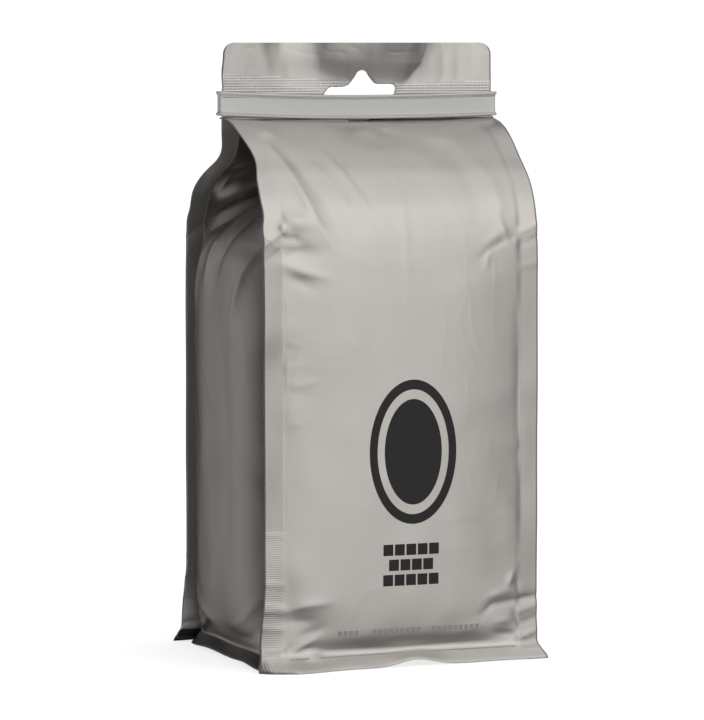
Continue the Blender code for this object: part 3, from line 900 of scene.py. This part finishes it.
# How far the ribbon's inner face, outer face and beads stand out, and the beads' radius
TIE_FOOT = 0.85
TIE_FACE = 1.35
BEAD = 0.62
TURN_TIGHTNESS = 0.6
BEAD_OUT = 1.62


def tie_section():
    """The ribbon's closed section as (outward, height above its lower edge)."""
    height = TIE_HIGH_Z - TIE_LOW_Z
    section = [(TIE_FOOT, height - 0.35), (TIE_FOOT, 0.35)]
    section += arc((BEAD_OUT, BEAD), BEAD, -130, 75, 9)
    section += [(TIE_FACE + 0.05, 1.5), (TIE_FACE, 2.2), (TIE_FACE - 0.08, height / 2)]
    section += [(TIE_FACE, height - 2.2), (TIE_FACE + 0.05, height - 1.5)]
    section += arc((BEAD_OUT, height - BEAD), BEAD, -75, 130, 9)
    return section


def sweep_tie(name, path):
    """Sweeps the section along (x, y, outward x, outward y) stations, ends closed."""
    section = tie_section()
    count = len(section)
    points = []
    for x, y, nx, ny in path:
        lift = tie_lift(x)
        points += [(x + nx * out, y + ny * out, TIE_LOW_Z + lift + z) for out, z in section]
    faces = tube_faces(len(path), count)
    faces.append(list(range(count)))
    last = (len(path) - 1) * count
    faces.append([last + j for j in range(count)][::-1])
    made = mesh_object(name, points, faces, [TIE_FINISH])
    repair = bmesh.new()
    repair.from_mesh(made.data)
    bmesh.ops.recalc_face_normals(repair, faces=repair.faces)
    repair.to_mesh(made.data)
    repair.free()
    made.data.set_sharp_from_angle(angle=math.radians(50))
    return made


def front_bow(x):
    """The ribbon stands a little proud of the head, more near its ends."""
    return NECK_Y - 0.35 - 0.25 * np.abs(np.sin(x / 19))


RIBBON_END_X = BEND_X - 0.1
# The ribbon's front runs along the head from one tab's bend to the other
front_path = [(x, front_bow(x), 0, -1) for x in np.linspace(-RIBBON_END_X, RIBBON_END_X, 80)]
tie_front = sweep_tie("tie_ribbon", front_path)
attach(tie_front, "head")
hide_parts("tie_cover", "tie_backing")

for side, word in ((-1, "left"), (1, "right")):
    path = [(side * (RIBBON_END_X + 0.02), front_bow(RIBBON_END_X), 0, -1)]
    for angle in np.linspace(-90, 90, 17)[1:-1]:
        a = math.radians(angle)
        y = NECK_Y + (front_bow(BEND_X) - NECK_Y) * (1 - math.sin(a)) / 2
        path.append((side * BEND_X, y, side * TURN_TIGHTNESS * math.cos(a), math.sin(a)))
    for x in np.linspace(BEND_X, abs(TAB_END_X), 24):
        path.append((side * x, NECK_Y, 0, 1))
    tab = sweep_tie(word + "_tie_tab", path)
    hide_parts(word + "_tie_bend", word + "_tab_cover", word + "_tab_backing")
    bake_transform(tab)


# ---------------- print on the front
def ink(name, colour):
    """Printing ink with a fine speck."""
    printed = Finish(name, 0.1)
    printed.two_tones(printed.noise(700), [c * 0.85 for c in colour], colour)
    return printed.material


INK = 0.04
BLACK_INK = ink("black_ink", (0.012, 0.010, 0.011))
FAINT_INK = ink("faint_ink", (0.30, 0.265, 0.255))


def on_front(x, s, proud):
    """Points on the front web at panel places (x, s), stood proud by a little."""
    column = np.interp(x, PANEL_X, np.arange(len(PANEL_X)))
    row = np.interp(s, ROW_S, np.arange(ROWS))
    c = np.clip(column.astype(int), 0, len(PANEL_X) - 2)
    r = np.clip(row.astype(int), 0, ROWS - 2)
    u = (column - c)[..., None]
    v = (row - r)[..., None]

    def mix(grid):
        low = grid[r, c] * (1 - u) + grid[r, c + 1] * u
        high = grid[r + 1, c] * (1 - u) + grid[r + 1, c + 1] * u
        return low * (1 - v) + high * v

    return mix(FRONT) + mix(FRONT_N) * proud


def printed_patch(name, x, s, material):
    """A skin of ink over a grid of panel places."""
    points = on_front(x, s, INK)
    rows, columns = x.shape
    made = mesh_object(name, points.reshape(-1, 3), grid_faces(rows, columns), [material])
    joined = made.modifiers.new("joined", "WELD")
    joined.merge_threshold = INK / 2 * MM
    thicken(made, INK)
    made.data.set_sharp_from_angle(angle=math.radians(40))
    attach(made, "bag")
    return made


def printed_bar(name, centre, width, height, material):
    """A rectangle of ink."""
    u = np.linspace(-width / 2, width / 2, max(3, int(width / 0.8)))
    v = np.linspace(-height / 2, height / 2, max(3, int(height / 0.8)))
    s, x = np.meshgrid(v + centre[1], u + centre[0], indexing="ij")
    return printed_patch(name, x, s, material)


def printed_ring(name, centre, inner, outer, material):
    """An oval ring."""
    around = np.linspace(0, math.tau, 97)
    share = np.linspace(0, 1, 5)
    a, f = np.meshgrid(around, share, indexing="xy")
    rx = inner[0] + (outer[0] - inner[0]) * f
    rs = inner[1] + (outer[1] - inner[1]) * f
    x = centre[0] + rx * np.cos(a)
    s = centre[1] + rs * np.sin(a)
    return printed_patch(name, x[::-1], s[::-1], material)


def printed_oval(name, centre, radii, material):
    """A filled oval, as a square grid drawn in to a disc."""
    steps = np.linspace(-1, 1, 41)
    v, u = np.meshgrid(steps, steps, indexing="ij")
    x = centre[0] + radii[0] * u * np.sqrt(1 - v * v / 2)
    s = centre[1] + radii[1] * v * np.sqrt(1 - u * u / 2)
    return printed_patch(name, x, s, material)


def printed_row(name, centre, count, block, gap, height, material):
    """A row of equal blocks, one object each."""
    pitch = block + gap
    for k in range(count):
        x = centre[0] + (k - (count - 1) / 2) * pitch
        printed_bar(f"{name}_{k}", (x, centre[1]), block, height, material)


EMBLEM = (3.4, 88.0)
printed_oval("emblem_oval", EMBLEM, (12.5, 21.5), BLACK_INK)
printed_ring("emblem_ring", EMBLEM, (15.6, 25.4), (19.0, 29.4), BLACK_INK)
for k, count in enumerate((5, 4, 5)):
    printed_row(f"title_{k}", (2.6, 48.2 - 6.2 * k), count, 4.3, 0.7, 4.6, BLACK_INK)
for k, (x, count) in enumerate(((-24.2, 4), (-3.2, 9), (22.8, 9))):
    printed_row(f"note_{k}", (x, 15.0), count, 1.7, 0.7, 1.9, FAINT_INK)


# ---------------- CAD nodes that stay in view
def one_colour(name, colour, metallic, scale, low, high):
    """A material of one colour whose roughness wanders between low and high."""
    plain = Finish(name, metallic, colour=colour)
    plain.vary_roughness(plain.noise(scale), low, high)
    return plain.material


def dress(node, material):
    """Puts a material on a CAD node that stays in view."""
    made = frame["nodes"][node]
    if not made.data.materials:
        made.data.materials.append(material)
    for slot in made.material_slots:
        slot.link = "OBJECT"
        slot.material = material


STEEL = one_colour("tie_steel", (0.5, 0.5, 0.51), 1, 400, 0.25, 0.4)
for node in frame["nodes"]:
    if "wire" in node:
        dress(node, STEEL)
dress("tie_glue", one_colour("tie_glue_finish", (0.78, 0.76, 0.68), 0, 250, 0.3, 0.6))


# ---------------- bottom web and powder
INNER = np.abs(PANEL_X) < SEAM_X - 1
RING_STEP = 3


def draw_in(ring, inset):
    """Draws a ring in towards its middle, in x and y."""
    drawn = ring.copy()
    middle = (ring.min(0) + ring.max(0)) / 2
    reach = (ring.max(0) - ring.min(0))[:2] / 2
    drawn[:, :2] = middle[:2] + (ring[:, :2] - middle[:2]) * (1 - inset / reach)
    return drawn


def inner_ring(row, inset):
    """Points round the pouch's inside at a row of the webs, drawn in by inset."""
    web = slice(FLANGE_COLUMNS, -FLANGE_COLUMNS)
    right, left = (gusset_points[word][row, web] for word in ("right", "left"))
    parts = (FRONT[row, INNER], right, BACK[row, INNER][::-1], left[::-1])
    return draw_in(np.concatenate(parts)[::RING_STEP], inset)


def closed_rings(name, rings, material, top):
    """Skins a stack of rings, with a cap at the end, and at the start too if top is given."""
    count = len(rings[0])
    faces = tube_faces(len(rings), count)
    last = (len(rings) - 1) * count
    faces.append([last + j for j in range(count)])
    if top:
        faces.append(list(range(count))[::-1])
    return mesh_object(name, np.concatenate(rings), faces, [material])


def at_height(ring, z):
    """The same ring laid level at a height."""
    lowered = ring.copy()
    lowered[:, 2] = z
    return lowered


BOTTOM_INSET = 0.45
BOTTOM_SEALED_TO = 5.0
# Inward from the bottom web's crest: how far in, and how high
BOTTOM_STEPS = ((0.9, 5.2), (2.2, 5.0), (4.6, 2.6), (8.5, 0.7), (12.0, 0.25), (30.0, 0.2))
POWDER_INSET = 2.2
POWDER_ROWS = (10, 190, 6)
# The powder's rounded foot and heaped top: how far in, and how high
POWDER_FOOT = ((13.5, 1.0), (9.0, 1.8), (5.6, 4.0), (3.4, 7.0))
POWDER_HEAP = ((5, 2.0), (14, 4.5))


def add_bottom_web():
    """Sealed inside the skirt, over a crest and down to the floor, flat under the powder."""
    rows = [r for r in range(ROWS) if ROW_S[r] < BOTTOM_SEALED_TO]
    rings = [inner_ring(r, BOTTOM_INSET) for r in rows]
    crest = rings[-1]
    rings += [draw_in(at_height(crest, z), inset) for inset, z in BOTTOM_STEPS]
    made = closed_rings("bottom_web", rings, film_plain, False)
    thicken(made, FILM)
    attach(made, "bag")
    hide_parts("bottom_panel")


def chalk_material():
    """White powder with soft clumps."""
    chalk = Finish("chalk_powder", 0, 0.95)
    clump = chalk.noise(160, 8)
    chalk.two_tones(clump, (0.80, 0.80, 0.79), (0.94, 0.94, 0.93))
    chalk.bump(clump.outputs["Fac"], 0.5, 0.001)
    return chalk.material


def add_powder():
    """The loose chalk, settled against the webs, with a heaped top."""
    low, high, step = POWDER_ROWS
    rows = [r for r in range(ROWS) if low < ROW_S[r] < high][::step]
    rings = [at_height(inner_ring(rows[0], inset), z) for inset, z in POWDER_FOOT]
    rings += [inner_ring(r, POWDER_INSET) for r in rows]
    top = rings[-1][:, 2].max()
    rings += [at_height(inner_ring(rows[-1], inset), top + rise) for inset, rise in POWDER_HEAP]
    made = closed_rings("chalk_powder", rings, chalk_material(), True)
    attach(made, "bag")
    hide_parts("chalk_fill")


add_bottom_web()
add_powder()


# ---------------- floor, light and camera
# The room is dim but for a bright arc, the product of four entries, and two glows. Each entry is a
# direction, and pairs of a cosine of the angle from it and the brightness there
ARC_ACROSS = ((0.978, 0.208, 0.0), (
    (-1.0, 0.04), (-0.6, 0.10), (-0.35, 0.55), (-0.1, 1.0),
    (0.25, 1.04), (0.42, 1.0), (0.6, 0.5), (1.0, 0.25),
))
ARC_ALONG = ((0.19, -0.90, 0.40), (
    (-1.0, 0.0), (-0.3, 0.04), (0.05, 0.5), (0.35, 0.84),
    (0.6, 0.92), (0.86, 0.92), (0.95, 0.98), (1.0, 0.98),
))
ARC_UP = ((0.0, 0.0, 1.0), (
    (-1.0, 0.1), (-0.5, 0.12), (-0.36, 0.3), (-0.24, 0.95),
    (-0.15, 1.1), (-0.06, 1.0), (0.2, 0.93), (1.0, 1.02),
))
ARC_RIGHT = ((0.90, -0.43, 0.0), ((-1.0, 1.0), (0.76, 1.0), (0.86, 0.62), (1.0, 0.40)))
RIGHT_GLOW = ((1.0, 0.25, 0.05), ((0.0, 0.0), (0.75, 0.0), (0.92, 0.3), (1.0, 0.45)))
BACK_GLOW = ((-0.68, 0.72, -0.10), ((0.0, 0.0), (0.70, 0.03), (0.86, 0.19), (1.0, 0.42)))
ROOM_DIM = 0.012
ROOM_TINT = (1.0, 0.99, 0.98)
BACKDROP = 1.02
FLOOR_LOOK = {
    "Base Color": (0.9, 0.9, 0.9, 1),
    "Roughness": 1,
    "Emission Color": (1, 1, 1, 1),
    "Emission Strength": 0.72,
}
# Soft boxes: name, place, size, radiance and colour; all aim at one spot
SOFT_BOXES = (
    ("key", (0.6, -1.9, 1.0), (1.5, 1.3), 0.3, (1, 0.985, 0.96)),
    ("back_fill", (0.9, 1.6, 0.7), (0.8, 0.8), 0.8, (0.96, 0.98, 1)),
)
LAMP_AIM = Vector((0, 0, 0.12))


def by_direction(nodes, links, place, direction, points):
    """A world brightness that depends on how far a direction is turned from a given one."""
    turned = nodes.new("ShaderNodeVectorMath")
    turned.operation = "DOT_PRODUCT"
    turned.inputs[1].default_value = Vector(direction).normalized()
    links.new(place.outputs["Generated"], turned.inputs[0])
    share = nodes.new("ShaderNodeMapRange")
    share.inputs["From Min"].default_value = -1
    links.new(turned.outputs["Value"], share.inputs["Value"])
    ramp = nodes.new("ShaderNodeValToRGB")
    stops = ramp.color_ramp.elements
    while len(stops) < len(points):
        stops.new(0.5)
    for stop, (cosine, value) in zip(stops, points):
        stop.position = (cosine + 1) / 2
        stop.color = [value] * 3 + [1]
    links.new(share.outputs["Result"], ramp.inputs["Fac"])
    return ramp.outputs["Color"]


def room_light():
    """Lights the room; what the camera sees directly is plain white."""
    world = bpy.data.worlds.new("studio")
    world.use_nodes = True
    nodes, links = world.node_tree.nodes, world.node_tree.links
    place = nodes.new("ShaderNodeTexCoord")
    light = by_direction(nodes, links, place, *ARC_ACROSS)
    steps = [("MULTIPLY", part) for part in (ARC_ALONG, ARC_UP, ARC_RIGHT)]
    steps += [("ADD", part) for part in (BACK_GLOW, RIGHT_GLOW)]
    for operation, part in steps:
        joined = nodes.new("ShaderNodeVectorMath")
        joined.operation = operation
        links.new(light, joined.inputs[0])
        links.new(by_direction(nodes, links, place, *part), joined.inputs[1])
        light = joined.outputs["Vector"]
    total = nodes.new("ShaderNodeVectorMath")
    total.operation = "MULTIPLY_ADD"
    total.inputs[1].default_value = ROOM_TINT
    total.inputs[2].default_value = (ROOM_DIM, ROOM_DIM, ROOM_DIM)
    links.new(light, total.inputs[0])
    room = nodes["Background"]
    links.new(total.outputs["Vector"], room.inputs["Color"])
    backdrop = nodes.new("ShaderNodeBackground")
    backdrop.inputs["Color"].default_value = (1, 1, 1, 1)
    backdrop.inputs["Strength"].default_value = BACKDROP
    path = nodes.new("ShaderNodeLightPath")
    either = nodes.new("ShaderNodeMixShader")
    links.new(path.outputs["Is Camera Ray"], either.inputs["Fac"])
    links.new(room.outputs["Background"], either.inputs[1])
    links.new(backdrop.outputs["Background"], either.inputs[2])
    links.new(either.outputs["Shader"], nodes["World Output"].inputs["Surface"])
    bpy.context.scene.world = world
    bpy.context.scene.view_settings.view_transform = "Standard"


def floor():
    """A wide white floor that glows a little, like a light table; the film doesn't mirror it."""
    bpy.ops.mesh.primitive_plane_add(size=80, location=(0, 0, -0.0002))
    made = bpy.context.object
    made.name = "floor"
    material = bpy.data.materials.new("floor_finish")
    material.use_nodes = True
    shader = material.node_tree.nodes["Principled BSDF"]
    for socket, value in FLOOR_LOOK.items():
        shader.inputs[socket].default_value = value
    made.data.materials.append(material)
    made.visible_glossy = False


def soft_box(name, place, size, radiance, colour):
    """An area lamp given by how bright its face is."""
    data = bpy.data.lights.new(name, "AREA")
    data.shape = "RECTANGLE"
    data.size, data.size_y = size
    data.energy = radiance * math.pi * size[0] * size[1]
    data.color = colour
    lamp = bpy.data.objects.new(name, data)
    lamp.location = place
    lamp.rotation_euler = (LAMP_AIM - Vector(place)).to_track_quat("-Z", "Y").to_euler()
    lamp.visible_camera = False
    bpy.context.scene.collection.objects.link(lamp)


CAMERA_YAW = math.radians(21.9)
CAMERA_PITCH = math.atan(0.08025)
CAMERA_TURN = math.atan(0.0015)
CAMERA_DISTANCE = 1.660
CAMERA_HEIGHT = 0.254
LENS = 200


def place_camera():
    """A long lens, a little above the head's height, 22 degrees round to the left."""
    back = Vector((-math.sin(CAMERA_YAW), -math.cos(CAMERA_YAW), 0))
    axis = Vector((0, NECK_Y * MM, CAMERA_HEIGHT))
    camera_data = bpy.data.cameras.new("camera")
    camera_data.lens = LENS
    camera_data.sensor_width = 36
    camera_data.clip_start = 0.05
    camera = bpy.data.objects.new("camera", camera_data)
    bpy.context.scene.collection.objects.link(camera)
    camera.location = axis + back * CAMERA_DISTANCE
    camera.rotation_euler = (math.pi / 2 - CAMERA_PITCH, 0, CAMERA_TURN - CAMERA_YAW)
    bpy.context.scene.camera = camera


room_light()
floor()
for box in SOFT_BOXES:
    soft_box(*box)
place_camera()
